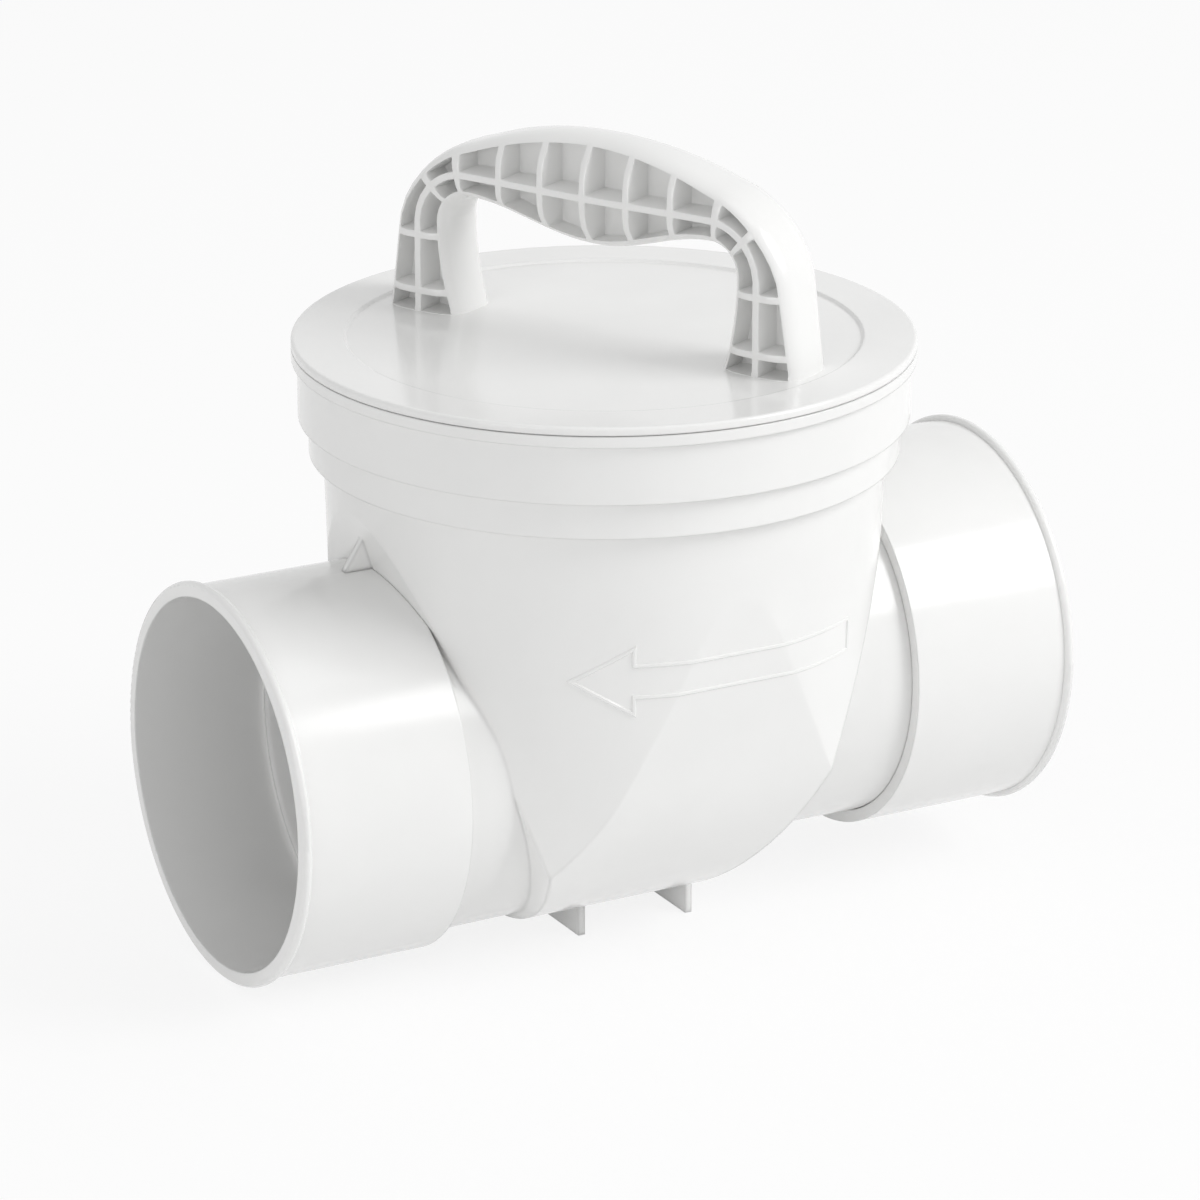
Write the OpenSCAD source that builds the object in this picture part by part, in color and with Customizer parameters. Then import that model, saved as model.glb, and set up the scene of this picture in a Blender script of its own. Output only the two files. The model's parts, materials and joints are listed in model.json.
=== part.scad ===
// Backwater valve for a plastic drain pipe: a moulded chamber with a tilted
// seat and a gravity-closed flap, under a round push-fit lid with a carry
// handle. +X points to the inlet, +Z up, and z = 0 is the floor under the
// outlet rim and the foot ribs. The flow runs from +X to -X.

/* [Pipe sockets] */
// Outside radius of the pipe that the sockets take
pipe_r = 55; // [45:0.5:65]
// Radial room between the pipe and a socket
pipe_room = 0.2; // [0.05:0.05:0.5]
// Depth that the pipe goes into a socket
socket_depth = 42; // [30:0.5:60]
// Wall of a socket sleeve
socket_wall = 2.8; // [2:0.1:4]
// Length of the sleeve that is welded over the neck
socket_lap = 12; // [8:0.5:20]
// Height of the pipe stop inside a socket
stop_h = 0.9; // [0.7:0.1:2]
// Height of the rim bead above the sleeve
bead_h = 1.6; // [0.8:0.1:3]
// Width of the rim bead along the sleeve
bead_w = 2.8; // [1.5:0.1:5]
// Radial gap left for cement where two mouldings are welded
weld_gap = 0.1; // [0.05:0.05:0.3]

/* [Necks] */
// Wall of the inlet and outlet necks
neck_wall = 4; // [3:0.1:6]
// Wall of a neck at its end, where the bore is tapered
neck_edge = 1.2; // [0.8:0.1:2]
// Length of the taper in the end of a neck's bore
neck_taper = 12; // [6:0.5:16]
// Radius that a neck loses from its end to the chamber, for draft
neck_draft = 0.7; // [0:0.1:2]
// Distance from the chamber barrel to the pipe stop
stand_off = 3.6; // [2:0.1:20]
// Drop from the inlet axis to the outlet axis
drop = 11; // [4:0.5:20]

/* [Chamber] */
// Wall of the chamber
wall = 4; // [3:0.1:6]
// Draft of the barrel in degrees
barrel_draft = 1.5; // [0:0.1:3]
// Room beside the seat ring, to the barrel
side_room = 4; // [1:0.1:6]
// Height of the trough's round centre above the outlet axis
trough_rise = 20.9; // [15:0.1:30]
// Room between the seat ring's radius and the trough's inside
trough_room = 11.5; // [7:0.1:16]
// Outward lean of the trough's sides in degrees, where they leave its round bottom
trough_lean = 14; // [10:0.1:20]
// Outward lean of the trough's sides in degrees, at their top
flank_lean = 6; // [4:0.1:9]
// Radius of the bulge of the trough's sides
flank_r = 305; // [200:1:400]
// Distance of the outlet end wall from the chamber axis, at the outlet axis
toe_x = 58.5; // [56:0.1:66]
// Slope of the outlet end wall from the vertical in degrees
toe_tilt = 17.7; // [12:0.1:24]
// Length of the gusset on the outlet socket's top
gusset_l = 8.8; // [6:0.1:12]
// Height of the gusset above the outlet socket
gusset_h = 9.2; // [6:0.1:12]
// Thickness of the gusset
gusset_t = 2.4; // [1.5:0.1:4]

/* [Foot ribs] */
// Thickness of a foot rib
rib_t = 2.2; // [1.5:0.1:4]
// Half width of a foot rib
rib_half_w = 24.5; // [15:0.5:30]
// Place of the outlet-side foot rib along the flow
rib_out_x = -21; // [-30:0.5:-10]
// Place of the inlet-side foot rib along the flow
rib_in_x = 15.4; // [5:0.5:18]

/* [Seat and flap] */
// Slope of the seat from the vertical in degrees
seat_tilt = 26; // [20:0.2:30]
// Distance of the seat wall's outside from the chamber axis, on the inlet axis
seat_x = 42.8; // [40:0.2:48]
// Narrowest land of the seat ring round its opening
seat_land = 3.6; // [3:0.1:8]
// Thickness of the seat ring
ring_t = 5; // [3:0.1:8]
// Gap between the closed seal and the seat
seal_gap = 0.2; // [0.1:0.05:0.4]
// Thickness of the flap's rubber seal
seal_t = 3; // [2:0.1:5]
// Width of the flap's rubber seal
seal_w = 12; // [9:0.5:16]
// Margin of the seat ring beyond the flap
flap_margin = 1.6; // [1:0.1:4]
// Thickness of the flap plate
flap_t = 4; // [3:0.1:6]
// Height of the stiffening ribs on the flap's back
flap_rib_h = 3; // [1:0.1:4]
// Thickness of the stiffening ribs on the flap's back
flap_rib_t = 3; // [2:0.1:5]
// Thickness of the plate that clamps the seal
retainer_t = 2; // [1.5:0.1:3]
// Overlap of the clamp plate on the seal
retainer_lap = 1.5; // [1:0.1:3]

/* [Hinge] */
// Radius of the hinge pin
pin_r = 2.5; // [2:0.1:4]
// Running clearance of the bushes on the pin
pin_running = 0.06; // [0.03:0.01:0.09]
// Wall of a bush
bush_wall = 1.5; // [1:0.1:2.5]
// Distance of the hinge axis beyond the flap's edge
hinge_reach = 8; // [7.5:0.1:12]
// Height of the hinge axis above the seat face
hinge_lift = 9; // [8.5:0.1:12]
// Distance of a flap ear's inside from the middle
ear_y = 12; // [8:0.5:14]
// Thickness of a flap ear or bracket lug
ear_t = 6; // [4:0.2:7]
// Gap between a flap ear and its bracket lug
ear_gap = 2; // [1.6:0.1:3]
// End play beside a bush flange
bush_play = 0.4; // [0.3:0.05:0.8]
// Material round a pin hole or bush
eye_wall = 3; // [2:0.1:4]
// Thickness of the bracket's plate
bracket_t = 4; // [3:0.1:5]
// Width of the bracket's plate up the seat wall
bracket_w = 13; // [12:0.5:16]

/* [Screws] */
// Radius of a screw's shank
screw_r = 1.75; // [1.2:0.05:2.2]
// Radius of a screw's head
screw_head_r = 3.4; // [2.6:0.1:4]
// Height of a screw's head
screw_head_h = 1.8; // [1:0.1:2.5]
// Depth of a screw in the piece that it holds
screw_bite = 3; // [2:0.1:3.2]
// Number of screws in the clamp plate
retainer_screws_n = 6; // [4:1:8]
// Distance of a bracket screw from the middle
bracket_screw_y = 6; // [4:0.5:7]

/* [Collar] */
// Wall of the collar's lower skirt
skirt_wall = 4; // [3:0.1:6]
// Depth of the collar's skirt over the barrel
skirt_lap = 7.4; // [6:0.1:12]
// Room from the hinge axis up to the collar's ledge
hinge_headroom = 16.7; // [8:0.1:22]
// Thickness of the ledge inside the collar
ledge_t = 3; // [2:0.1:6]
// Width of the ledge beyond the barrel's outside
ledge_w = 2.4; // [2:0.1:5]
// Depth of the lid's pocket above the ledge
pocket_h = 21.3; // [20:0.1:36]
// Wall of the collar's upper band
band_wall = 4.6; // [3:0.1:7]
// Height that the upper band ends above the ledge
band_lap = 0.6; // [0.2:0.1:4]
// Overhang of the top flange
flange_out = 1.7; // [1:0.1:4]
// Thickness of the top flange
flange_t = 3.4; // [2:0.1:5]

/* [Lid] */
// Gap between the lid and the collar's flange
lid_gap = 0.3; // [0.2:0.05:0.6]
// Thickness of the lid's rim
lid_t = 2.4; // [2:0.1:4]
// Rounding of the lid's upper edge
lid_edge = 1; // [0.5:0.1:1.6]
// Depth of the dish in the lid's top
dish = 0.8; // [0.3:0.1:1.5]
// Width of the flat band round the dish
dish_band = 15.5; // [8:0.5:17]
// Thickness of the lid's plate under the dish
lid_plate = 4; // [3:0.1:6]
// Radial room of the plug in the collar
plug_room = 0.4; // [0.3:0.05:0.8]
// Wall of the lid's plug
plug_wall = 6.6; // [6:0.1:9]
// Depth of the plug below the lid
plug_h = 19; // [17:0.2:26]
// Number of stiffening ribs under the lid
lid_ribs = 6; // [4:2:16]
// Thickness of a stiffening rib under the lid
lid_rib_t = 2; // [1.5:0.1:4]
// Height of a stiffening rib under the lid
lid_rib_h = 6; // [4:0.5:12]

/* [Seal rings] */
// Radius of a seal ring's cord
oring_r = 1.9; // [1.5:0.05:2.5]
// Running clearance of a seal ring in its groove and bore
oring_running = 0.1; // [0.05:0.05:0.2]
// Depth of the upper seal ring below the lid
oring_upper_h = 7; // [6:0.5:10]
// Distance between the two seal rings
oring_pitch = 7.5; // [6:0.5:9]

/* [Handle] */
// Turn of the handle from the flow direction at rest
handle_turn = -62.6; // [-180:0.1:180]
// Half span of the handle's mid-line
handle_half = 58.9; // [50:0.1:62]
// Height of the grip's mid-line above the lid
grip_h = 43.8; // [38:0.1:55]
// Radius of the mid-line's corners
corner_r = 16.5; // [12:0.1:22]
// Half thickness of a leg
leg_half_t = 11; // [7:0.1:13]
// Extra half thickness in the middle of the grip
grip_swell = 1; // [0:0.1:3]
// Outward depth of a leg from the mid-line
leg_out = 9.2; // [7:0.1:11]
// Inward depth of a leg from the mid-line
leg_in = 9.1; // [7:0.1:11]
// Outward flare of a foot
foot_out = 3.9; // [0:0.1:6]
// Inward flare of a foot
foot_in = 4.6; // [0:0.1:8]
// Depth that a corner loses at its outside
corner_thin = 2.6; // [0:0.1:3]
// Inward depth of the grip at its ends
grip_in = 7.5; // [6:0.1:9]
// Rise of the grip's back over its ends
grip_crown = 8.2; // [4:0.1:12]
// Extra depth of the grip's belly
grip_belly = 8.3; // [3:0.1:10]
// Skin of the handle
skin_t = 2.8; // [2:0.1:4]
// Thickness of the ribs and webs inside the handle
web_t = 2.2; // [1.5:0.1:3]
// Distance between the ribs of the grip
grip_rib_pitch = 14.9; // [12:0.1:15]
// Height of the lower rib in a leg
leg_rib_low = 6.5; // [5:0.1:9]
// Height of the upper rib in a leg
leg_rib_high = 23.5; // [18:0.1:25]
// Size of a handle tenon along the span
tenon_l = 12; // [8:0.5:14]
// Size of a handle tenon across the span
tenon_w = 8; // [6:0.5:12]
// Depth of a handle tenon in the lid
tenon_h = 8; // [5:0.5:10]
// Wall round a tenon under the lid
tenon_wall = 2.5; // [2:0.1:4]

/* [Hidden] */
$fn = 96;

// Overlap of a cutting shape past the face that it cuts
cut = 1;
// Size of a half space, larger than the whole valve
far = 600;

// Sockets and necks
socket_r = pipe_r + pipe_room;
weld_r = socket_r - stop_h;
sleeve_r = socket_r + socket_wall;
bead_r = sleeve_r + bead_h;
neck_r = weld_r - weld_gap / 2;
neck_bore = neck_r - neck_wall;
outlet_z = bead_r;
inlet_z = outlet_z + drop;

// Seat and flap, in the seat's own frame: X up the seat, Z into the chamber
opening_r = neck_bore / cos(seat_tilt);
seat_r = opening_r + seat_land;
flap_r = seat_r - flap_margin;
seat_face_x = seat_x - (wall + ring_t) / cos(seat_tilt);
flap_z = seal_gap + seal_t;
seal_in_r = flap_r - seal_w;
retainer_r = seal_in_r + retainer_lap;
hinge_u = flap_r + hinge_reach;
bush_r = pin_r + pin_running + bush_wall;
eye_r = bush_r + eye_wall;
lug_y = ear_y + ear_t + ear_gap;
pin_half_l = lug_y + ear_t;
hinge_z = inlet_z + hinge_u * cos(seat_tilt) + hinge_lift * sin(seat_tilt);

// Barrel and trough
barrel_top_z = hinge_z + hinge_headroom;
barrel_r = sqrt(pow(seat_r + side_room, 2) + pow(seat_x, 2)) + wall
         + (barrel_top_z - inlet_z) * tan(barrel_draft);
barrel_foot_r = barrel_r - barrel_top_z * tan(barrel_draft);
trough_r = seat_r + trough_room + wall;
trough_z = outlet_z + trough_rise;

// Lengths along the flow
neck_end_x = barrel_r + stand_off;
mouth_x = neck_end_x + socket_depth;
sleeve_end_x = neck_end_x - socket_lap;

// Collar and lid
ledge_top_z = barrel_top_z + ledge_t;
rim_z = ledge_top_z + pocket_h;
bore_r = barrel_r + ledge_w;
skirt_r = barrel_r + skirt_wall;
ledge_in_r = min(barrel_r, seat_x + (barrel_top_z - inlet_z) * tan(seat_tilt)) - wall;
band_r = bore_r + band_wall;
flange_r = band_r + flange_out;
lid_under_z = rim_z + lid_gap;
lid_top_z = lid_under_z + lid_t;
dish_z = lid_top_z - dish;
dish_r = flange_r - dish_band;
plate_under_z = dish_z - lid_plate;
plug_r = bore_r - plug_room;
plug_in_r = plug_r - plug_wall;
oring_mid_r = bore_r - oring_running - oring_r;
groove_r = oring_mid_r - oring_r - oring_running;
groove_half_h = oring_r + oring_running;
oring_upper_z = lid_under_z - oring_upper_h;
oring_lower_z = oring_upper_z - oring_pitch;

// Handle: lengths along its mid-line, from the left foot over the grip to the right foot
leg_l = grip_h - corner_r;
corner_l = corner_r * PI / 2;
grip_half = handle_half - corner_r;
path_l = 2 * (leg_l + corner_l + grip_half);
section_n = 20;
// Squareness of the handle's section in a leg and in the middle of the grip
leg_power = 3.4;
grip_power = 2.4;

pvc = "whitesmoke";
rubber = "dimgray";
steel = "silver";
acetal = "gainsboro";

// Frames

// Moves a shape from the seat's own frame to its place in the chamber
module on_seat() {
    translate([seat_face_x, 0, inlet_z])
        rotate([0, seat_tilt - 90, 0])
            children();
}

// Moves a shape along Y, at the hinge axis, to its place in the chamber
module on_hinge() {
    on_seat()
        translate([hinge_u, 0, hinge_lift])
            rotate([-90, 0, 0])
                children();
}

// Turns a shape made along Z so that it runs along the flow from the chamber axis
module along_flow(side, z) {
    translate([0, 0, z])
        rotate([0, 90 * side, 0])
            children();
}

// Chamber

// Section of the trough across the flow, inset by a wall
module trough_section(inset) {
    r = trough_r - inset;
    bulge_r = flank_r - inset;
    bulge_y = (flank_r - trough_r) * cos(trough_lean);
    bulge_z = (flank_r - trough_r) * sin(trough_lean);
    tangent_y = bulge_r * cos(flank_lean) - bulge_y;
    tangent_z = bulge_z - bulge_r * sin(flank_lean);
    top_z = far / 2;
    top_y = tangent_y + (top_z - tangent_z) * tan(flank_lean);
    circle(r);
    intersection() {
        translate([-bulge_y, bulge_z])
            circle(bulge_r);
        translate([bulge_y, bulge_z])
            circle(bulge_r);
        translate([-far / 2, -r * sin(trough_lean)])
            square([far, tangent_z + r * sin(trough_lean)]);
    }
    polygon([
        [cut - tangent_y, tangent_z - cut],
        [tangent_y - cut, tangent_z - cut],
        [tangent_y, tangent_z],
        [top_y, top_z],
        [-top_y, top_z],
        [-tangent_y, tangent_z]
    ]);
}

// The chamber's form: a drafted barrel that ends below in a trough between two sloping walls
module chamber_form(inset, top_z) {
    intersection() {
        cylinder(h = top_z, r1 = barrel_foot_r - inset,
                 r2 = barrel_foot_r - inset + top_z * tan(barrel_draft));
        translate([-far / 2, 0, trough_z])
            rotate([90, 0, 90])
                linear_extrude(far)
                    trough_section(inset);
        translate([seat_x, 0, inlet_z])
            rotate([0, seat_tilt - 90, 0])
                translate([-far / 2, -far / 2, inset])
                    cube(far);
        translate([-toe_x, 0, outlet_z])
            rotate([0, 90 - toe_tilt, 0])
                translate([-far / 2, -far / 2, inset])
                    cube(far);
    }
}

// A drafted neck from the chamber axis out to the pipe stop
module neck(side, z) {
    along_flow(side, z)
        cylinder(h = neck_end_x, r1 = neck_r - neck_draft, r2 = neck_r);
}

// The bore of a neck, tapered wider at its end
module neck_passage() {
    taper_l = neck_taper + cut;
    cylinder(h = neck_end_x + cut, r = neck_bore);
    translate([0, 0, neck_end_x - neck_taper])
        cylinder(h = taper_l, r1 = neck_bore,
                 r2 = neck_bore + (neck_wall - neck_edge) * taper_l / neck_taper);
}

// A triangular plate that stands on the outlet socket against the end wall
module gusset() {
    base_z = sleeve_r + weld_gap;
    base_x = toe_x + base_z * tan(toe_tilt);
    top_x = toe_x + (base_z + gusset_h) * tan(toe_tilt);
    translate([0, 0, outlet_z])
        rotate([90, 0, 0])
            linear_extrude(gusset_t, center = true)
                polygon([
                    [-base_x - gusset_l, base_z],
                    [-base_x + wall / 2, base_z],
                    [-top_x + wall / 2, base_z + gusset_h],
                    [-top_x, base_z + gusset_h]
                ]);
}

module foot_rib(x) {
    translate([x - rib_t / 2, -rib_half_w, 0])
        cube([rib_t, 2 * rib_half_w, trough_z - trough_r + wall + rib_half_w / 2]);
}

module valve_body() {
    color(pvc)
        difference() {
            union() {
                chamber_form(0, barrel_top_z);
                neck(-1, outlet_z);
                inlet_neck();
                foot_rib(rib_out_x);
                foot_rib(rib_in_x);
                gusset();
            }
            chamber_form(wall, barrel_top_z + cut);
            along_flow(-1, outlet_z)
                neck_passage();
            along_flow(1, inlet_z)
                neck_passage();
            on_seat()
                bracket_screw_holes(-ring_t - screw_bite);
        }
}

// The inlet neck, outside the seat wall only
module inlet_neck() {
    difference() {
        neck(1, inlet_z);
        translate([seat_x, 0, inlet_z])
            rotate([0, seat_tilt - 90, 0])
                translate([-far / 2, -far / 2, 0])
                    cube(far);
    }
}

// Sockets

// A sleeve over the neck, with a rounded bead at its mouth
module socket_sleeve() {
    bead_mid = mouth_x - bead_w / 2;
    difference() {
        union() {
            translate([0, 0, sleeve_end_x])
                cylinder(h = mouth_x - sleeve_end_x, r = sleeve_r);
            rotate_extrude()
                translate([bead_r - bead_w / 2, bead_mid])
                    circle(d = bead_w, $fn = 32);
            translate([0, 0, mouth_x - bead_w])
                cylinder(h = bead_w, r = bead_r - bead_w / 2);
        }
        translate([0, 0, neck_end_x])
            cylinder(h = socket_depth + cut, r = socket_r);
        translate([0, 0, sleeve_end_x - cut])
            cylinder(h = socket_lap + cut, r = weld_r);
    }
}

// A sleeve with its end cut back from the chamber
module socket(side, z) {
    color(pvc)
        difference() {
            along_flow(side, z)
                socket_sleeve();
            chamber_form(-weld_gap, barrel_top_z);
        }
}

module outlet_socket() {
    socket(-1, outlet_z);
}

module inlet_socket() {
    socket(1, inlet_z);
}

// Seat, flap and hinge

module seat_ring() {
    color(pvc)
        difference() {
            on_seat()
                translate([0, 0, -ring_t])
                    cylinder(h = ring_t, r = seat_r);
            along_flow(1, inlet_z)
                cylinder(h = neck_end_x, r = neck_bore);
        }
}

// A round eye about the hinge axis, with a web down to a base height
module eye(y, r, base_z, web_u0, web_u1) {
    translate([hinge_u, y, hinge_lift])
        rotate([-90, 0, 0])
            cylinder(h = ear_t, r = r);
    translate([web_u0, y, base_z])
        cube([web_u1 - web_u0, ear_t, hinge_lift - base_z]);
}

module pair(y) {
    for (side = [0, 1])
        mirror([0, side, 0])
            translate([0, y, 0])
                children();
}

module bracket_screw_holes(z) {
    for (side = [-1, 1])
        translate([hinge_u, side * bracket_screw_y, z])
            cylinder(h = far / 10, r = screw_r, $fn = 24);
}

module hinge_bracket() {
    lug_r = pin_r + eye_wall;
    plate_u = seat_r + weld_gap;
    color(pvc)
        on_seat()
            difference() {
                union() {
                    translate([plate_u, -pin_half_l, -ring_t])
                        cube([bracket_w, 2 * pin_half_l, bracket_t]);
                    pair(lug_y)
                        eye(0, lug_r, -ring_t, max(hinge_u - lug_r, plate_u), hinge_u + lug_r);
                }
                translate([hinge_u, -pin_half_l - cut, hinge_lift])
                    rotate([-90, 0, 0])
                        cylinder(h = 2 * (pin_half_l + cut), r = pin_r);
                bracket_screw_holes(-ring_t - cut);
            }
}

// A pan-head screw that points down, with its head on z = 0
module screw(bite) {
    translate([0, 0, -bite])
        cylinder(h = bite, r = screw_r, $fn = 24);
    cylinder(h = screw_head_h, r = screw_head_r, $fn = 24);
}

module bracket_screws() {
    color(steel)
        on_seat()
            for (side = [-1, 1])
                translate([hinge_u, side * bracket_screw_y, bracket_t - ring_t])
                    screw(bracket_t + screw_bite);
}

module hinge_pin() {
    clip_room = 2 * bush_wall;
    color(steel)
        on_hinge()
            union() {
                translate([0, 0, -pin_half_l])
                    cylinder(h = 2 * pin_half_l + clip_room, r = pin_r);
                translate([0, 0, -pin_half_l - bush_wall])
                    cylinder(h = bush_wall, r = pin_r + bush_wall);
            }
}

module pin_clip() {
    color(steel)
        on_hinge()
            translate([0, 0, pin_half_l])
                difference() {
                    cylinder(h = bush_wall / 2, r = pin_r + bush_wall);
                    translate([0, 0, -cut])
                        cylinder(h = bush_wall + 2 * cut, r = pin_r);
                    translate([-pin_r / 2, 0, -cut])
                        cube([pin_r, 2 * pin_r + bush_wall, bush_wall + 2 * cut]);
                }
}

module flap() {
    ear_foot = flap_r - 2 * ear_t;
    color(pvc)
        on_seat()
            difference() {
                union() {
                    translate([0, 0, flap_z])
                        cylinder(h = flap_t, r = flap_r);
                    flap_back_ribs();
                    pair(ear_y)
                        eye(0, eye_r, flap_z, ear_foot, hinge_u);
                }
                translate([hinge_u, -pin_half_l, hinge_lift])
                    rotate([-90, 0, 0])
                        cylinder(h = 2 * pin_half_l, r = bush_r);
                retainer_screw_places()
                    translate([0, 0, flap_z - cut])
                        cylinder(h = screw_bite + cut, r = screw_r, $fn = 24);
            }
}

// A rim and crossed ribs that stiffen the flap's back
module flap_back_ribs() {
    rim_r = flap_r - flap_rib_t / 2;
    translate([0, 0, flap_z + flap_t / 2]) {
        difference() {
            cylinder(h = flap_t / 2 + flap_rib_h, r = rim_r);
            translate([0, 0, -cut])
                cylinder(h = flap_t / 2 + flap_rib_h + 2 * cut, r = rim_r - flap_rib_t);
        }
        for (turn = [0, 90])
            rotate([0, 0, turn])
                translate([-rim_r + flap_rib_t / 2, -flap_rib_t / 2, 0])
                    cube([2 * rim_r - flap_rib_t, flap_rib_t, (flap_t + flap_rib_h) / 2]);
    }
}

module flap_seal() {
    color(rubber)
        on_seat()
            translate([0, 0, seal_gap])
                difference() {
                    cylinder(h = seal_t, r = flap_r);
                    translate([0, 0, -cut])
                        cylinder(h = seal_t + 2 * cut, r = seal_in_r);
                }
}

module retainer_screw_places() {
    for (i = [0 : retainer_screws_n - 1])
        rotate([0, 0, 360 * (i + 0.5) / retainer_screws_n])
            translate([seal_in_r - 2 * screw_head_r, 0, 0])
                children();
}

// A spigot that fills the seal's hole, with a lip that clamps the seal's inner edge
module seal_retainer() {
    color(pvc)
        on_seat()
            difference() {
                union() {
                    translate([0, 0, seal_gap])
                        cylinder(h = seal_t, r = seal_in_r - weld_gap);
                    translate([0, 0, seal_gap - retainer_t])
                        cylinder(h = retainer_t, r = retainer_r);
                }
                retainer_screw_places()
                    translate([0, 0, seal_gap - retainer_t - cut])
                        cylinder(h = retainer_t + seal_t + 2 * cut, r = screw_r, $fn = 24);
            }
}

module retainer_screws() {
    color(steel)
        on_seat()
            retainer_screw_places()
                translate([0, 0, seal_gap - retainer_t])
                    mirror([0, 0, 1])
                        screw(retainer_t + seal_t + screw_bite);
}

// A flanged bush in a flap ear, with its flange towards the bracket lug
module hinge_bush(side) {
    color(acetal)
        on_hinge()
            mirror([0, 0, side])
                difference() {
                    union() {
                        translate([0, 0, ear_y])
                            cylinder(h = ear_t, r = bush_r);
                        translate([0, 0, ear_y + ear_t])
                            cylinder(h = ear_gap - bush_play, r = bush_r + bush_wall);
                    }
                    translate([0, 0, ear_y - cut])
                        cylinder(h = ear_t + ear_gap + 2 * cut, r = pin_r + pin_running);
                }
}

module hinge_bush_left() {
    hinge_bush(1);
}

module hinge_bush_right() {
    hinge_bush(0);
}

// Collar and lid

module access_collar() {
    skirt_bottom_z = barrel_top_z - skirt_lap;
    band_bottom_z = ledge_top_z + band_lap;
    flange_under_z = rim_z - flange_t;
    socket_in_r = barrel_r + weld_gap;
    color(pvc)
        rotate_extrude()
            polygon([
                [ledge_in_r, barrel_top_z],
                [socket_in_r, barrel_top_z],
                [socket_in_r, skirt_bottom_z],
                [skirt_r, skirt_bottom_z],
                [skirt_r, band_bottom_z],
                [band_r, band_bottom_z],
                [band_r, flange_under_z],
                [flange_r, flange_under_z],
                [flange_r, rim_z],
                [bore_r, rim_z],
                [bore_r, ledge_top_z],
                [ledge_in_r, ledge_top_z]
            ]);
}

module oring(z) {
    color(rubber)
        rotate_extrude()
            translate([oring_mid_r, z])
                circle(oring_r, $fn = 32);
}

module lid_oring_upper() {
    oring(oring_upper_z);
}

module lid_oring_lower() {
    oring(oring_lower_z);
}

// The lid's plate and plug, turned from one outline
module lid_turned() {
    rotate_extrude()
        difference() {
            union() {
                translate([0, plate_under_z])
                    square([dish_r - dish, lid_plate]);
                polygon([
                    [dish_r - dish - cut, plate_under_z],
                    [plug_r, plate_under_z],
                    [plug_r, lid_under_z],
                    [flange_r, lid_under_z],
                    [flange_r, lid_top_z - lid_edge],
                    [flange_r - lid_edge, lid_top_z],
                    [dish_r, lid_top_z],
                    [dish_r - dish, dish_z],
                    [dish_r - dish - cut, dish_z]
                ]);
                translate([flange_r - lid_edge, lid_top_z - lid_edge])
                    intersection() {
                        circle(lid_edge, $fn = 32);
                        square(lid_edge);
                    }
                translate([plug_in_r, lid_under_z - plug_h])
                    square([plug_wall, plug_h]);
            }
            for (z = [oring_upper_z, oring_lower_z])
                translate([groove_r, z - groove_half_h])
                    square([bore_r - groove_r, 2 * groove_half_h]);
        }
}

module lid() {
    socket_l = tenon_l + 2 * weld_gap;
    socket_w = tenon_w + 2 * weld_gap;
    color(pvc)
        rotate([0, 0, handle_turn])
            difference() {
                union() {
                    lid_turned();
                    lid_under_ribs();
                    tenon_places()
                        translate([-socket_l / 2 - tenon_wall, -socket_w / 2 - tenon_wall, 0])
                            translate([0, 0, dish_z - tenon_h - tenon_wall])
                                cube([socket_l + 2 * tenon_wall, socket_w + 2 * tenon_wall,
                                      tenon_h + tenon_wall - lid_plate / 2]);
                }
                tenon_places()
                    translate([-socket_l / 2, -socket_w / 2, dish_z - tenon_h - weld_gap])
                        cube([socket_l, socket_w, tenon_h + weld_gap + cut]);
            }
}

// Radial ribs under the lid, from a hub out to the plug
module lid_under_ribs() {
    hub_r = plug_in_r / 6;
    for (i = [0 : lid_ribs - 1])
        rotate([0, 0, 360 * (i + 0.5) / lid_ribs])
            translate([0, -lid_rib_t / 2, plate_under_z - lid_rib_h])
                cube([plug_in_r + plug_wall / 4, lid_rib_t, lid_rib_h + lid_plate / 2]);
    translate([0, 0, plate_under_z - lid_rib_h])
        cylinder(h = lid_rib_h + lid_plate / 2, r = hub_r);
}

module tenon_places() {
    for (side = [-1, 1])
        translate([side * handle_half, 0, 0])
            children();
}

// Handle

// Place, outward direction, outward and inward depth, half thickness and squareness of the
// handle at a length along its mid-line; the span is the first coordinate, the height the second
function handle_leg(h) =
    let(low = 1 - h / leg_l)
    [[-handle_half, h], [-1, 0], leg_out + foot_out * low, leg_in + foot_in * low * low,
     leg_half_t, leg_power];

function handle_corner(a) =
    let(dir = [-cos(a), sin(a)])
    [[-grip_half, leg_l] + corner_r * dir, dir,
     leg_out - corner_thin * sin(2 * a), leg_in + (grip_in - leg_in) * a / 90,
     leg_half_t, leg_power];

function handle_grip(t) =
    let(share = t / grip_half, swell = (1 + cos(180 * share)) / 2)
    [[t, grip_h], [0, 1], leg_out + grip_crown * (1 - share * share),
     grip_in + grip_belly * swell, leg_half_t + grip_swell * swell,
     leg_power + (grip_power - leg_power) * swell];

function mirrored(s) = [[-s[0][0], s[0][1]], [-s[1][0], s[1][1]], s[2], s[3], s[4], s[5]];

function handle_at(l) =
    l > path_l / 2 ? mirrored(handle_at(path_l - l)) :
    l < leg_l ? handle_leg(l) :
    l < leg_l + corner_l ? handle_corner(90 * (l - leg_l) / corner_l) :
    handle_grip(l - leg_l - corner_l - grip_half);

// A point of the handle's plane at a depth from the mid-line, outward positive
function handle_point(l, depth) = let(s = handle_at(l)) s[0] + depth * s[1];

function rounded(v, power) = sign(v) * pow(abs(v), 2 / power);

// One ring of points round the handle's section
function handle_ring(l) =
    let(s = handle_at(l))
    [for (k = [0 : section_n - 1])
        let(a = 360 * (k + 0.5) / section_n, c = rounded(cos(a), s[5]),
            p = s[0] + c * (c > 0 ? s[2] : s[3]) * s[1])
        [p[0], s[4] * rounded(sin(a), s[5]), p[1]]];

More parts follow.
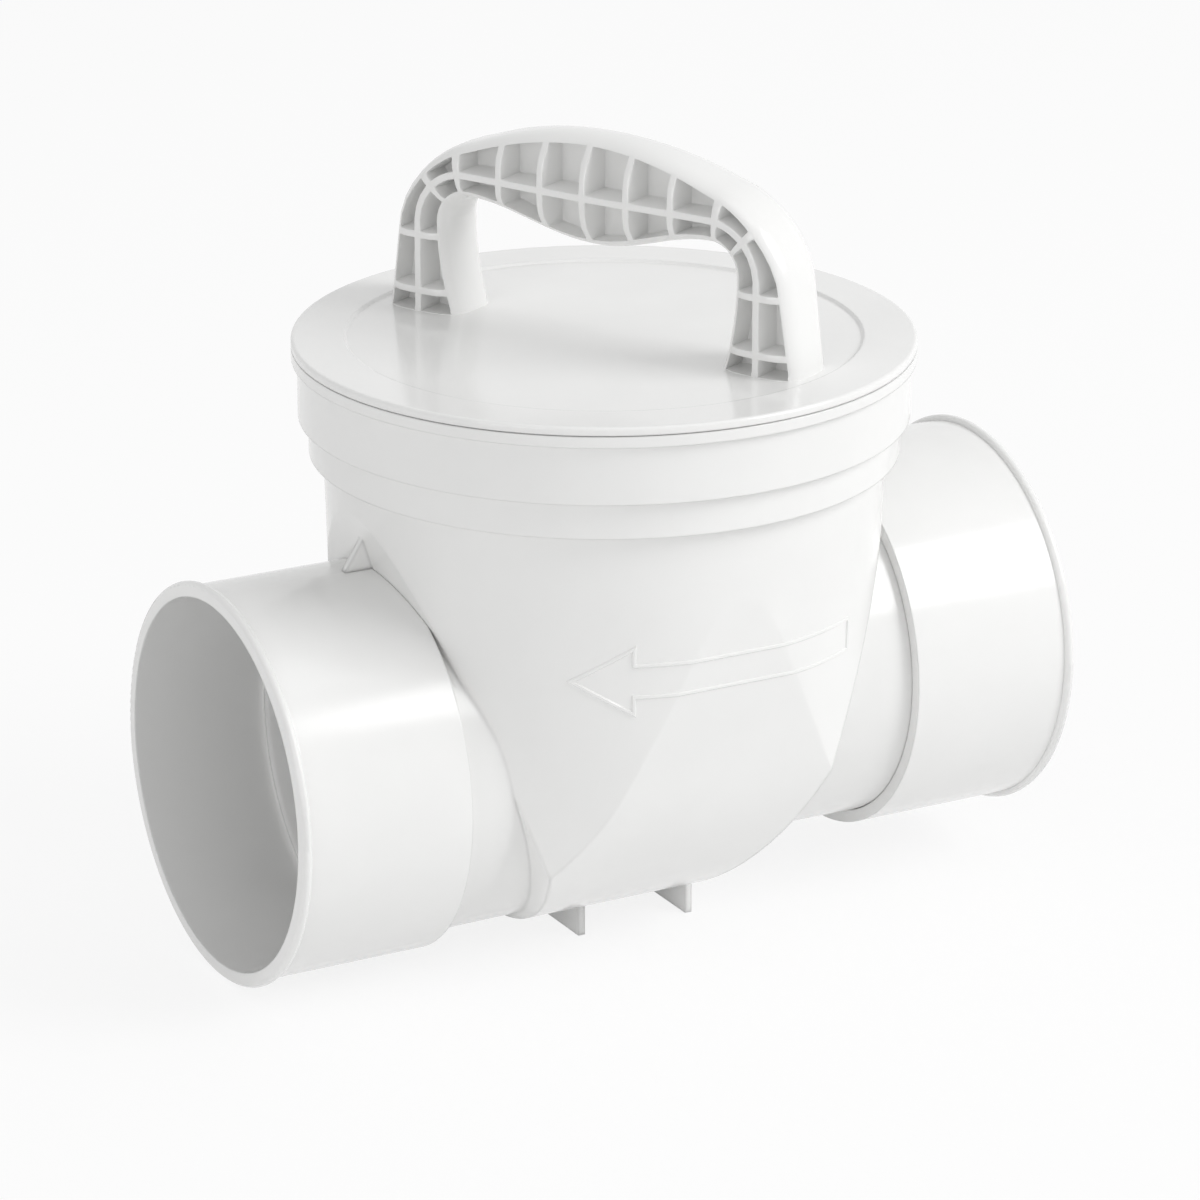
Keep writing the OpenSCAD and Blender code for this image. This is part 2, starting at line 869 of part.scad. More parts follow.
module handle_skin() {
    leg_steps = 4;
    corner_steps = 6;
    grip_steps = 8;
    half = concat([for (i = [0 : leg_steps - 1]) leg_l * i / leg_steps],
                  [for (i = [0 : corner_steps - 1]) leg_l + corner_l * i / corner_steps],
                  [for (i = [0 : grip_steps - 1]) leg_l + corner_l + grip_half * i / grip_steps]);
    steps = concat(half, [path_l / 2], [for (i = [len(half) - 1 : -1 : 0]) path_l - half[i]]);
    points = [for (l = steps) each handle_ring(l)];
    last = len(steps) - 1;
    sides = [for (i = [0 : last - 1], k = [0 : section_n - 1])
        let(a = i * section_n + k, b = i * section_n + (k + 1) % section_n)
        each [[a, b, b + section_n], [a, b + section_n, a + section_n]]];
    ends = [[for (k = [section_n - 1 : -1 : 0]) k], [for (k = [0 : section_n - 1]) last * section_n + k]];
    polyhedron(points, concat(sides, ends));
}

// Lengths along the mid-line at which a rib crosses the handle
function handle_ribs() =
    let(half = [leg_rib_low, leg_rib_high, leg_l + corner_l / 2,
                for (k = [3 : -1 : 1]) path_l / 2 - k * grip_rib_pitch])
    concat(half, [path_l / 2], [for (i = [len(half) - 1 : -1 : 0]) path_l - half[i]]);

// Outline of one pocket between two ribs; row 1 is outside the mid-line web and -1 inside it
function handle_cell(l0, l1, row) =
    let(n = 4, ls = [for (i = [0 : n]) l0 + (l1 - l0) * i / n],
        edge = [for (l = ls) handle_point(l, row * (handle_at(l)[row > 0 ? 2 : 3] - skin_t))],
        web = [for (i = [n : -1 : 0]) handle_point(ls[i], row * web_t / 2)])
    concat(edge, web);

module handle_pockets() {
    ribs = concat([-web_t], handle_ribs(), [path_l + web_t]);
    depth = leg_half_t + grip_swell + cut;
    for (i = [0 : len(ribs) - 2], row = [-1, 1], face = [0, 1])
        mirror([0, face, 0])
            rotate([90, 0, 0])
                translate([0, 0, web_t / 2])
                    linear_extrude(depth)
                        polygon(handle_cell(ribs[i] + web_t / 2, ribs[i + 1] - web_t / 2, row));
}

module lid_handle() {
    color(pvc)
        rotate([0, 0, handle_turn])
            translate([0, 0, dish_z])
                union() {
                    difference() {
                        handle_skin();
                        handle_pockets();
                    }
                    tenon_places()
                        translate([-tenon_l / 2, -tenon_w / 2, -tenon_h])
                            cube([tenon_l, tenon_w, tenon_h + web_t]);
                }
}

valve_body();
access_collar();
outlet_socket();
inlet_socket();
seat_ring();
hinge_bracket();
bracket_screws();
hinge_pin();
pin_clip();
flap();
flap_seal();
seal_retainer();
retainer_screws();
hinge_bush_left();
hinge_bush_right();
lid();
lid_handle();
lid_oring_upper();
lid_oring_lower();
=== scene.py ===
"""Looks of a backwater valve: finishes for its moulded pieces, its ribbed carry handle, the raised
flow arrow on its barrel, its screws, and the stage that it is shown on."""

import json
import math

import bmesh
import bpy
from bpy.props import FloatProperty, FloatVectorProperty, IntProperty, PointerProperty
from bpy.types import Operator, Panel, PropertyGroup
from mathutils import Matrix, Vector
from mathutils.bvhtree import BVHTree


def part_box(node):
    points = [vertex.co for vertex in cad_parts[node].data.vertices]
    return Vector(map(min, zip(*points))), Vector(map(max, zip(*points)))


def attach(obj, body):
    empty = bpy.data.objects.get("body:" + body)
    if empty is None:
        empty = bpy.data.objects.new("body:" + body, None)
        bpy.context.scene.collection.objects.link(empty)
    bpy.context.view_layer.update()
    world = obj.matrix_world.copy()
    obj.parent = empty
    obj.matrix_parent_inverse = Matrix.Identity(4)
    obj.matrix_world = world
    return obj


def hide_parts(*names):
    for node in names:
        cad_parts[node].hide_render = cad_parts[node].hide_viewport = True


bl_info = {
    "name": "Backwater valve",
    "version": (1, 0, 0),
    "blender": (4, 5, 0),
    "location": "View3D > Sidebar > Valve",
    "description": "Finishes, handle, flow arrow, screws and stage of a backwater valve",
    "category": "Object",
}

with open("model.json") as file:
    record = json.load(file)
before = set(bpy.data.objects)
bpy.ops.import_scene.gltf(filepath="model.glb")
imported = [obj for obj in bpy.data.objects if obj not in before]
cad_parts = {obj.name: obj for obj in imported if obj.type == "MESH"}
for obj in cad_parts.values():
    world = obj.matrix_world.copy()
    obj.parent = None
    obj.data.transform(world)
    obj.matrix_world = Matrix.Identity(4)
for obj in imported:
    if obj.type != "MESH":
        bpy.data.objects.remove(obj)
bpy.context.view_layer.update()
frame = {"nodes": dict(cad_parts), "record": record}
MM = 0.001
# Corners nearer to each other than this are one corner.
JOIN = 0.001 * MM

HANDLE_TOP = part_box("lid_handle")[1].z


def hex_colour(code):
    """Turns an sRGB hex value into linear red, green and blue."""
    values = [int(code[i:i + 2], 16) / 255 for i in (0, 2, 4)]
    return tuple(v / 12.92 if v <= 0.04045 else ((v + 0.055) / 1.055) ** 2.4 for v in values)


class ValveFinish(PropertyGroup):
    """Colours of the valve's materials."""

    pvc: FloatVectorProperty(name="PVC", description="Colour of the moulded white PVC",
                             subtype="COLOR", default=hex_colour("F0F0EF"), min=0, max=1)
    rubber: FloatVectorProperty(name="Rubber", description="Colour of the rubber seals",
                                subtype="COLOR", default=hex_colour("1B1C1E"), min=0, max=1)
    steel: FloatVectorProperty(name="Steel", description="Colour of the stainless steel",
                               subtype="COLOR", default=hex_colour("C4C4C2"), min=0, max=1)
    acetal: FloatVectorProperty(name="Acetal", description="Colour of the hinge bushes",
                                subtype="COLOR", default=hex_colour("DDD9CE"), min=0, max=1)
    edge: FloatProperty(name="Edge", description="Rounding that a moulded edge shows",
                        unit="LENGTH", default=0.8 * MM, min=0)
    soft_edge: FloatProperty(name="Soft edge", description="Rounding that an edge of the chamber shows",
                             unit="LENGTH", default=2.2 * MM, min=0)
    fine_edge: FloatProperty(name="Fine edge", description="Rounding that a raised line's edge shows",
                             unit="LENGTH", default=0.12 * MM, min=0)


class ValveHandle(PropertyGroup):
    """Sizes of the carry handle."""

    turn: FloatProperty(name="Turn", description="Turn of the handle from the flow direction",
                        subtype="ANGLE", default=math.radians(-62.6))
    half_span: FloatProperty(name="Half span", description="Half span of the handle's mid-line",
                             unit="LENGTH", default=58.9 * MM)
    grip_height: FloatProperty(name="Grip height", description="Height of the grip's mid-line",
                               unit="LENGTH", default=43.8 * MM)
    corner: FloatProperty(name="Corner", description="Radius of the mid-line's corners",
                          unit="LENGTH", default=16.5 * MM)
    half_thickness: FloatProperty(name="Half thickness", description="Half thickness of a leg",
                                  unit="LENGTH", default=11 * MM)
    swell: FloatProperty(name="Swell", description="Extra half thickness in the middle of the grip",
                         unit="LENGTH", default=1 * MM)
    skin: FloatProperty(name="Skin", description="Thickness of the handle's skin",
                        unit="LENGTH", default=2.8 * MM)
    web: FloatProperty(name="Web", description="Thickness of the ribs and of the middle web",
                       unit="LENGTH", default=2.2 * MM)
    rounding: FloatProperty(name="Rounding", description="Rounding of the pocket edges",
                            unit="LENGTH", default=0.45 * MM)
    rib_pitch: FloatProperty(name="Rib pitch", description="Distance between the ribs of the grip",
                             unit="LENGTH", default=14.9 * MM)


class ValveArrow(PropertyGroup):
    """Sizes of the raised flow arrow."""

    height: FloatProperty(name="Height", description="Height of the arrow's middle above the floor",
                          unit="LENGTH", default=98.6 * MM)
    tip: FloatProperty(name="Tip", description="Direction of the arrow's tip round the barrel",
                       subtype="ANGLE", default=math.radians(-126.4))
    tail: FloatProperty(name="Tail", description="Direction of the arrow's tail round the barrel",
                        subtype="ANGLE", default=math.radians(-58.5))
    head: FloatProperty(name="Head", description="Length of the arrow's head",
                        unit="LENGTH", default=20 * MM)
    head_half: FloatProperty(name="Head half height", description="Half height of the arrow's head",
                             unit="LENGTH", default=11 * MM)
    shaft_half: FloatProperty(name="Shaft half height", description="Half height of the arrow's shaft",
                              unit="LENGTH", default=5.4 * MM)
    line: FloatProperty(name="Line", description="Width of the raised line at its foot",
                        unit="LENGTH", default=1.3 * MM)
    slope: FloatProperty(name="Slope", description="Width of each sloping side of the line",
                         unit="LENGTH", default=0.32 * MM)
    relief: FloatProperty(name="Relief", description="Height of the line above the barrel",
                          unit="LENGTH", default=0.45 * MM)


class ValveScrews(PropertyGroup):
    """Sizes of the pan-head screws."""

    head_radius: FloatProperty(name="Head radius", description="Radius of a screw's head",
                               unit="LENGTH", default=3.4 * MM)
    head_height: FloatProperty(name="Head height", description="Height of a screw's head",
                               unit="LENGTH", default=1.8 * MM)
    shank_radius: FloatProperty(name="Shank radius", description="Radius of a screw's shank",
                                unit="LENGTH", default=1.75 * MM)
    slot: FloatProperty(name="Slot", description="Width of the cross recess",
                        unit="LENGTH", default=0.9 * MM)
    tilt: FloatProperty(name="Tilt", description="Slope of the screws, square to the flap's seat",
                        subtype="ANGLE", default=math.radians(26))
    steps: IntProperty(name="Steps", description="Steps of a turned face", default=24, min=8)


class ValveStage(PropertyGroup):
    """Floor, lamps and camera."""

    floor: FloatVectorProperty(name="Floor", description="Colour of the floor",
                               subtype="COLOR", default=hex_colour("F7F7F7"), min=0, max=1)
    lens: FloatProperty(name="Lens", description="Focal length of the camera on a 36 mm sensor",
                        default=172.86, min=1)
    place: FloatVectorProperty(name="Place", description="Place of the camera",
                               subtype="XYZ", unit="LENGTH", default=(-0.77486, -1.41011, 0.6692))
    pitch: FloatProperty(name="Pitch", description="Tilt of the camera from straight down",
                         subtype="ANGLE", default=math.radians(90 - 19.6615))
    heading: FloatProperty(name="Heading", description="Turn of the camera about the vertical",
                           subtype="ANGLE", default=math.radians(-28.747))
    sky: FloatProperty(name="Sky", description="Strength of the light from all round",
                       default=0.57, min=0)
    key: FloatProperty(name="Key", description="Power of the high lamp on the inlet side",
                       unit="POWER", default=36, min=0)
    side: FloatProperty(name="Side", description="Power of the lamp on the outlet side",
                        unit="POWER", default=7, min=0)
    top: FloatProperty(name="Top", description="Power of the lamp over the lid",
                       unit="POWER", default=3, min=0)
    white: FloatProperty(name="White", description="Share of plain white in the floor that the camera sees",
                         subtype="FACTOR", default=0.85, min=0, max=1)


def add_node(tree, kind, settings=(), **inputs):
    """Adds a node, sets its fields, and gives each named input a value or a link."""
    node = tree.nodes.new(kind)
    for field, value in dict(settings).items():
        setattr(node, field, value)
    for name, value in inputs.items():
        socket = node.inputs[name.replace("_", " ")]
        if isinstance(value, bpy.types.NodeSocket):
            tree.links.new(value, socket)
        else:
            socket.default_value = value
    return node


def new_material(name):
    """An empty node material with its output and Object coordinates."""
    material = bpy.data.materials.new(name)
    material.use_nodes = True
    tree = material.node_tree
    tree.nodes.clear()
    output = add_node(tree, "ShaderNodeOutputMaterial")
    coords = add_node(tree, "ShaderNodeTexCoord").outputs["Object"]
    return material, tree, output, coords


def shade_of(colour, share):
    """The colour made darker or paler by a share, with full opacity."""
    return tuple(min(1.0, c * share) for c in colour) + (1.0,)


def moulded_pvc(finish, name="white_pvc_moulded", rounding=None):
    """Rigid white PVC, moulded in a polished tool: a clear gloss over an even white, with faint
    flow clouds in the colour and in the gloss, and edges that the tool leaves a little round."""
    material, tree, output, coords = new_material(name)
    cloud = add_node(tree, "ShaderNodeTexNoise", Vector=coords, Scale=1 / (35 * MM), Detail=3.0)
    tint = add_node(tree, "ShaderNodeValToRGB", Fac=cloud.outputs["Fac"])
    tint.color_ramp.elements[0].position, tint.color_ramp.elements[1].position = 0.3, 0.7
    tint.color_ramp.elements[0].color = shade_of(finish.pvc, 0.975)
    tint.color_ramp.elements[1].color = shade_of(finish.pvc, 1.0)
    # The tool's own grain is some hundredths of a millimetre; it is drawn at 1.2 mm so that it shows.
    grain = add_node(tree, "ShaderNodeTexNoise", Vector=coords, Scale=1 / (1.2 * MM), Detail=2.0)
    gloss = add_node(tree, "ShaderNodeMapRange", Value=cloud.outputs["Fac"], From_Min=0.3,
                     From_Max=0.7, To_Min=0.12, To_Max=0.18)
    edge = add_node(tree, "ShaderNodeBevel", {"samples": 6}, Radius=rounding or finish.edge)
    bump = add_node(tree, "ShaderNodeBump", Strength=0.05, Distance=0.05 * MM,
                    Height=grain.outputs["Fac"], Normal=edge.outputs["Normal"])
    shader = add_node(tree, "ShaderNodeBsdfPrincipled", Base_Color=tint.outputs["Color"],
                      Roughness=gloss.outputs["Result"], IOR=1.53, Normal=bump.outputs["Normal"])
    tree.links.new(shader.outputs["BSDF"], output.inputs["Surface"])
    return material


def moulded_rubber(finish):
    """Black EPDM rubber, moulded: a dull dark face with a fine dusty grain."""
    material, tree, output, coords = new_material("black_epdm_moulded")
    dust = add_node(tree, "ShaderNodeTexNoise", Vector=coords, Scale=1 / (6 * MM), Detail=4.0)
    tint = add_node(tree, "ShaderNodeValToRGB", Fac=dust.outputs["Fac"])
    tint.color_ramp.elements[0].color = shade_of(finish.rubber, 0.8)
    tint.color_ramp.elements[1].color = shade_of(finish.rubber, 1.5)
    grain = add_node(tree, "ShaderNodeTexNoise", Vector=coords, Scale=1 / (0.5 * MM), Detail=2.0)
    bump = add_node(tree, "ShaderNodeBump", Strength=0.25, Distance=0.05 * MM,
                    Height=grain.outputs["Fac"])
    shader = add_node(tree, "ShaderNodeBsdfPrincipled", Base_Color=tint.outputs["Color"],
                      Roughness=0.62, IOR=1.5, Normal=bump.outputs["Normal"])
    tree.links.new(shader.outputs["BSDF"], output.inputs["Surface"])
    return material


def drawn_steel(finish):
    """Stainless steel wire and screws, drawn and turned: fine bright lines round each piece."""
    material, tree, output, coords = new_material("stainless_steel_drawn")
    stretch = add_node(tree, "ShaderNodeMapping", Vector=coords, Scale=(1.0, 0.08, 1.0))
    lines = add_node(tree, "ShaderNodeTexNoise", Vector=stretch.outputs["Vector"],
                     Scale=1 / (0.4 * MM), Detail=3.0)
    tint = add_node(tree, "ShaderNodeValToRGB", Fac=lines.outputs["Fac"])
    tint.color_ramp.elements[0].color = shade_of(finish.steel, 0.88)
    tint.color_ramp.elements[1].color = shade_of(finish.steel, 1.05)
    gloss = add_node(tree, "ShaderNodeMapRange", Value=lines.outputs["Fac"], To_Min=0.2, To_Max=0.36)
    bump = add_node(tree, "ShaderNodeBump", Strength=0.1, Distance=0.02 * MM,
                    Height=lines.outputs["Fac"])
    shader = add_node(tree, "ShaderNodeBsdfPrincipled", Base_Color=tint.outputs["Color"], Metallic=1.0,
                      Roughness=gloss.outputs["Result"], Normal=bump.outputs["Normal"])
    tree.links.new(shader.outputs["BSDF"], output.inputs["Surface"])
    return material


def turned_acetal(finish):
    """Natural acetal, turned from rod: a waxy off-white with faint tool rings along the pin."""
    material, tree, output, coords = new_material("natural_acetal_turned")
    rings = add_node(tree, "ShaderNodeTexWave", {"bands_direction": "Y"}, Vector=coords,
                     Scale=1 / (0.6 * MM) / 20, Distortion=0.4)
    tint = add_node(tree, "ShaderNodeValToRGB", Fac=rings.outputs["Fac"])
    tint.color_ramp.elements[0].color = shade_of(finish.acetal, 0.95)
    tint.color_ramp.elements[1].color = shade_of(finish.acetal, 1.0)
    bump = add_node(tree, "ShaderNodeBump", Strength=0.15, Distance=0.03 * MM,
                    Height=rings.outputs["Fac"])
    shader = add_node(tree, "ShaderNodeBsdfPrincipled", Base_Color=tint.outputs["Color"],
                      Roughness=0.38, IOR=1.48, Normal=bump.outputs["Normal"])
    tree.links.new(shader.outputs["BSDF"], output.inputs["Surface"])
    return material


SLOT_MAKERS = {"pvc_white": moulded_pvc, "seal_rubber": moulded_rubber,
               "stainless_steel": drawn_steel, "acetal": turned_acetal}
FINE_PVC = "white_pvc_fine_moulded"
SOFT_PVC = "white_pvc_soft_moulded"
SLOT_NAMES = {"pvc_white": "white_pvc_moulded", "seal_rubber": "black_epdm_moulded",
              "stainless_steel": "stainless_steel_drawn", "acetal": "natural_acetal_turned"}


def slot_material(slot):
    """The finished material of one of the record's slots."""
    return bpy.data.materials[SLOT_NAMES[slot]]


def keep_piece(bm, name, body, slot, smooth=40.0, material=None):
    """Makes a finished mesh an object at the origin that rides on a body, with its slot's material
    or with another finish of that material."""
    mesh = bpy.data.meshes.new(name)
    bm.to_mesh(mesh)
    bm.free()
    for face in mesh.polygons:
        face.use_smooth = True
    mesh.set_sharp_from_angle(angle=math.radians(smooth))
    mesh.materials.append(material or slot_material(slot))
    piece = bpy.data.objects.new(name, mesh)
    bpy.context.collection.objects.link(piece)
    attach(piece, body)
    return piece


class VALVE_OT_finishes(Operator):
    """Make the materials and give each CAD piece its own"""

    bl_idname = "valve.finishes"
    bl_label = "Finishes"

    def execute(self, context):
        finish = context.scene.valve_finish
        for make in SLOT_MAKERS.values():
            make(finish)
        moulded_pvc(finish, FINE_PVC, finish.fine_edge)
        for part in frame["record"]["subparts"]:
            node = frame["nodes"][part["node"]]
            node.data.materials.clear()
            node.data.materials.append(slot_material(part["material_slot"]))
        frame["nodes"]["valve_body"].data.materials[0] = moulded_pvc(finish, SOFT_PVC, finish.soft_edge)
        return {"FINISHED"}


class HandleLine:
    """The handle's mid-line and section, as lengths from the left foot over the grip."""

    LEG_OUT, LEG_IN = 9.2 * MM, 9.1 * MM
    FOOT_OUT, FOOT_IN = 3.9 * MM, 4.6 * MM
    CORNER_THIN = 2.6 * MM
    GRIP_IN, GRIP_CROWN, GRIP_BELLY = 7.5 * MM, 8.2 * MM, 8.3 * MM
    LEG_POWER, GRIP_POWER = 3.4, 2.4
    LEG_RIBS = (6.5 * MM, 23.5 * MM)

    def __init__(self, sizes):
        self.sizes = sizes
        self.leg = sizes.grip_height - sizes.corner
        self.bend = sizes.corner * math.pi / 2
        self.grip = sizes.half_span - sizes.corner
        self.length = 2 * (self.leg + self.bend + self.grip)

    def at(self, l):
        """Place, outward direction, outward and inward depth, half thickness and squareness."""
        s = self.sizes
        if l > self.length / 2:
            place, out, a, b, w, p = self.at(self.length - l)
            return Vector((-place.x, place.y)), Vector((-out.x, out.y)), a, b, w, p
        if l < self.leg:
            low = 1 - l / self.leg
            return (Vector((-s.half_span, l)), Vector((-1, 0)), self.LEG_OUT + self.FOOT_OUT * low,
                    self.LEG_IN + self.FOOT_IN * low * low, s.half_thickness, self.LEG_POWER)
        if l < self.leg + self.bend:
            turn = math.pi / 2 * (l - self.leg) / self.bend
            out = Vector((-math.cos(turn), math.sin(turn)))
            share = turn / (math.pi / 2)
            return (Vector((-self.grip, self.leg)) + s.corner * out, out,
                    self.LEG_OUT - self.CORNER_THIN * math.sin(2 * turn),
                    self.LEG_IN + (self.GRIP_IN - self.LEG_IN) * share, s.half_thickness, self.LEG_POWER)
        t = l - self.leg - self.bend - self.grip
        share = t / self.grip
        swell = (1 + math.cos(math.pi * share)) / 2
        return (Vector((t, s.grip_height)), Vector((0, 1)),
                self.LEG_OUT + self.GRIP_CROWN * (1 - share * share),
                self.GRIP_IN + self.GRIP_BELLY * swell, s.half_thickness + s.swell * swell,
                self.LEG_POWER + (self.GRIP_POWER - self.LEG_POWER) * swell)

    def ribs(self):
        """Lengths at which a rib crosses the handle."""
        half = [*self.LEG_RIBS, self.leg + self.bend / 2]
        half += [self.length / 2 - k * self.sizes.rib_pitch for k in (3, 2, 1)]
        return half + [self.length / 2] + [self.length - l for l in reversed(half)]

    def section(self, l, across, tip):
        """Points round the section: both rows of the front face, the back of the grip, both rows of
        the rear face, the belly. Each row has across + 1 points and each skin 2 * tip - 1."""
        place, out, a, b, w, p = self.at(l)
        skin, half_web = self.sizes.skin, self.sizes.web / 2

        def thickness(depth):
            reach = a if depth > 0 else b
            return w * max(0.0, 1 - abs(depth / reach) ** p) ** (1 / p)

        inner = [-(b - skin) + (b - skin - half_web) * i / across for i in range(across + 1)]
        outer = [half_web + (a - skin - half_web) * i / across for i in range(across + 1)]
        front = [(d, -thickness(d)) for d in inner + outer]
        rear = [(d, -y) for d, y in reversed(front)]

        def skin_points(reach, sign):
            start = math.acos(((reach - skin) / reach) ** (p / 2))
            turns = [start * (1 - i / tip) for i in range(1, tip + 1)]
            half = [(sign * reach * math.cos(t) ** (2 / p), w * math.sin(t) ** (2 / p)) for t in turns[:-1]]
            half = [(d, -y) for d, y in half] + [(sign * reach, 0.0)] + [(d, y) for d, y in reversed(half)]
            return half

        back = skin_points(a, 1)
        belly = [(d, -y) for d, y in skin_points(b, -1)]
        points = []
        for depth, y in front + back + rear + belly:
            spot = place + out * depth
            points.append(Vector((spot.x, y, spot.y)))
        return points


class VALVE_OT_handle(Operator):
    """Build the carry handle: a swept oval skin with two rows of pockets on each face"""

    bl_idname = "valve.handle"
    bl_label = "Carry handle"

    def execute(self, context):
        sizes = context.scene.valve_handle
        line = HandleLine(sizes)
        across, tip, along = 3, 5, 4
        half_web = sizes.web / 2
        sill = 0.3 * MM
        ribs = line.ribs()
        starts = [sill] + [l + half_web for l in ribs]
        ends = [l - half_web for l in ribs] + [line.length - sill]
        stations, cells = [0.0], []
        for start, end in zip(starts, ends):
            cells.append((len(stations), len(stations) + along))
            stations += [start + (end - start) * i / along for i in range(along + 1)]
        stations.append(line.length)

        bm = bmesh.new()
        count = len(line.section(0.0, across, tip))
        ring = bmesh.ops.create_circle(bm, segments=count, radius=sizes.half_thickness)["verts"]
        rings = [ring]
        edges = [bm.edges.get((ring[i], ring[(i + 1) % count])) for i in range(count)]
        for _ in stations[1:]:
            made = bmesh.ops.extrude_edge_only(bm, edges=edges)["geom"]
            fresh = {e for e in made if isinstance(e, bmesh.types.BMEdge)}
            step = []
            for v in rings[-1]:
                step.append(next(e.other_vert(v) for e in v.link_edges if e.other_vert(v) not in rings[-1]
                                 and (len(rings) < 2 or e.other_vert(v) not in rings[-2])))
            rings.append(step)
            edges = [bm.edges.get((step[i], step[(i + 1) % count])) for i in range(count)]
            if not all(e in fresh for e in edges):
                raise RuntimeError("the handle's sweep lost its ring")
        for station, verts in zip(stations, rings):
            for vert, point in zip(verts, line.section(station, across, tip)):
                vert.co = point
        bmesh.ops.contextual_create(bm, geom=[bm.edges.get((rings[0][i], rings[0][(i + 1) % count]))
                                              for i in range(count)])
        bmesh.ops.contextual_create(bm, geom=edges)

        rows = [(0, -1), (across + 1, -1)]
        rear = 2 * (across + 1) + 2 * tip - 1
        rows += [(rear, 1), (rear + across + 1, 1)]
        for first, last in cells:
            for start, side in rows:
                faces = []
                for i in range(first, last):
                    for k in range(start, start + across):
                        corner = (rings[i][k], rings[i][k + 1], rings[i + 1][k + 1], rings[i + 1][k])
                        faces.append(next(f for f in corner[0].link_faces
                                          if all(v in f.verts for v in corner)))
                made = bmesh.ops.extrude_face_region(bm, geom=faces)["geom"]
                for v in (g for g in made if isinstance(g, bmesh.types.BMVert)):
                    v.co.y = side * half_web
                bmesh.ops.delete(bm, geom=[f for f in faces if f.is_valid], context="FACES")
        bm.normal_update()
        bmesh.ops.recalc_face_normals(bm, faces=bm.faces[:])
        sharp = math.radians(50)
        rims = [e for e in bm.edges if e.is_manifold and e.calc_face_angle(0) > sharp
                and min(v.co.z for v in e.verts) > 2 * sill]
        bmesh.ops.bevel(bm, geom=rims, offset=sizes.rounding, offset_type="OFFSET", segments=2,
                        profile=0.5, affect="EDGES", clamp_overlap=True, material=-1)
        bmesh.ops.recalc_face_normals(bm, faces=bm.faces[:])
        top = max(v.co.z for v in bm.verts)
        bmesh.ops.translate(bm, vec=(0, 0, HANDLE_TOP - top), verts=bm.verts[:])
        bmesh.ops.rotate(bm, cent=(0, 0, 0), matrix=Matrix.Rotation(sizes.turn, 3, "Z"), verts=bm.verts[:])
        piece = keep_piece(bm, "carry_handle", "lid", "pvc_white", material=bpy.data.materials[FINE_PVC])
        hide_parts("lid_handle")
        return {"FINISHED"}


class VALVE_OT_arrow(Operator):
    """Raise the outline of the flow arrow on the front of the barrel"""

    bl_idname = "valve.arrow"
    bl_label = "Flow arrow"

    # Radius of the barrel at the arrow, as a share of the collar's radius.
    BARREL_SHARE = 0.89
    # Length of the pieces that the line is cut into, so that it follows the barrel.
    CUT = 2 * MM
    # Distance from the axis at which the rays towards the barrel start.
    REACH = 0.2

    def execute(self, context):
        sizes = context.scene.valve_arrow
        body = frame["nodes"]["valve_body"].data
        surface = BVHTree.FromPolygons([v.co for v in body.vertices], [p.vertices for p in body.polygons])
        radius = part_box("access_collar")[1].x
        length = (sizes.tail - sizes.tip) * radius * self.BARREL_SHARE
        outline = [(0, 0), (sizes.head, -sizes.head_half), (sizes.head, -sizes.shaft_half),
                   (length, -sizes.shaft_half), (length, sizes.shaft_half),
                   (sizes.head, sizes.shaft_half), (sizes.head, sizes.head_half)]
        bm = bmesh.new()
        face = bm.faces.new([bm.verts.new((x, y, 0)) for x, y in outline])
        face.normal_update()
        bmesh.ops.inset_region(bm, faces=[face], thickness=sizes.line, use_boundary=True,
                               use_even_offset=True)
        bmesh.ops.delete(bm, geom=[face], context="FACES_ONLY")
        raised = bmesh.ops.extrude_face_region(bm, geom=bm.faces[:])["geom"]
        crest = [g for g in raised if isinstance(g, bmesh.types.BMFace)]
        for v in {v for f in crest for v in f.verts}:
            v.co.z = sizes.relief
        bmesh.ops.recalc_face_normals(bm, faces=bm.faces[:])
        bm.normal_update()
        bmesh.ops.inset_region(bm, faces=crest, thickness=sizes.slope, use_even_offset=True)
        for v in {v for f in crest for v in f.verts}:
            v.co.z = 2 * sizes.relief
        x = self.CUT
        while x < length:
            bmesh.ops.bisect_plane(bm, geom=bm.verts[:] + bm.edges[:] + bm.faces[:], plane_co=(x, 0, 0),
                                   plane_no=(1, 0, 0))
            x += self.CUT
        bmesh.ops.remove_doubles(bm, verts=bm.verts[:], dist=JOIN)
        for v in bm.verts:
            angle = sizes.tip + (sizes.tail - sizes.tip) * v.co.x / length
            outward = Vector((math.cos(angle), math.sin(angle), 0))
            level = Vector((0, 0, sizes.height + v.co.y))
            spot = surface.ray_cast(level + outward * self.REACH, -outward)[0]
            v.co = spot + outward * (v.co.z - sizes.relief)
        bmesh.ops.recalc_face_normals(bm, faces=bm.faces[:])
        keep_piece(bm, "flow_arrow", "casing", "pvc_white", 30.0, bpy.data.materials[FINE_PVC])
        return {"FINISHED"}


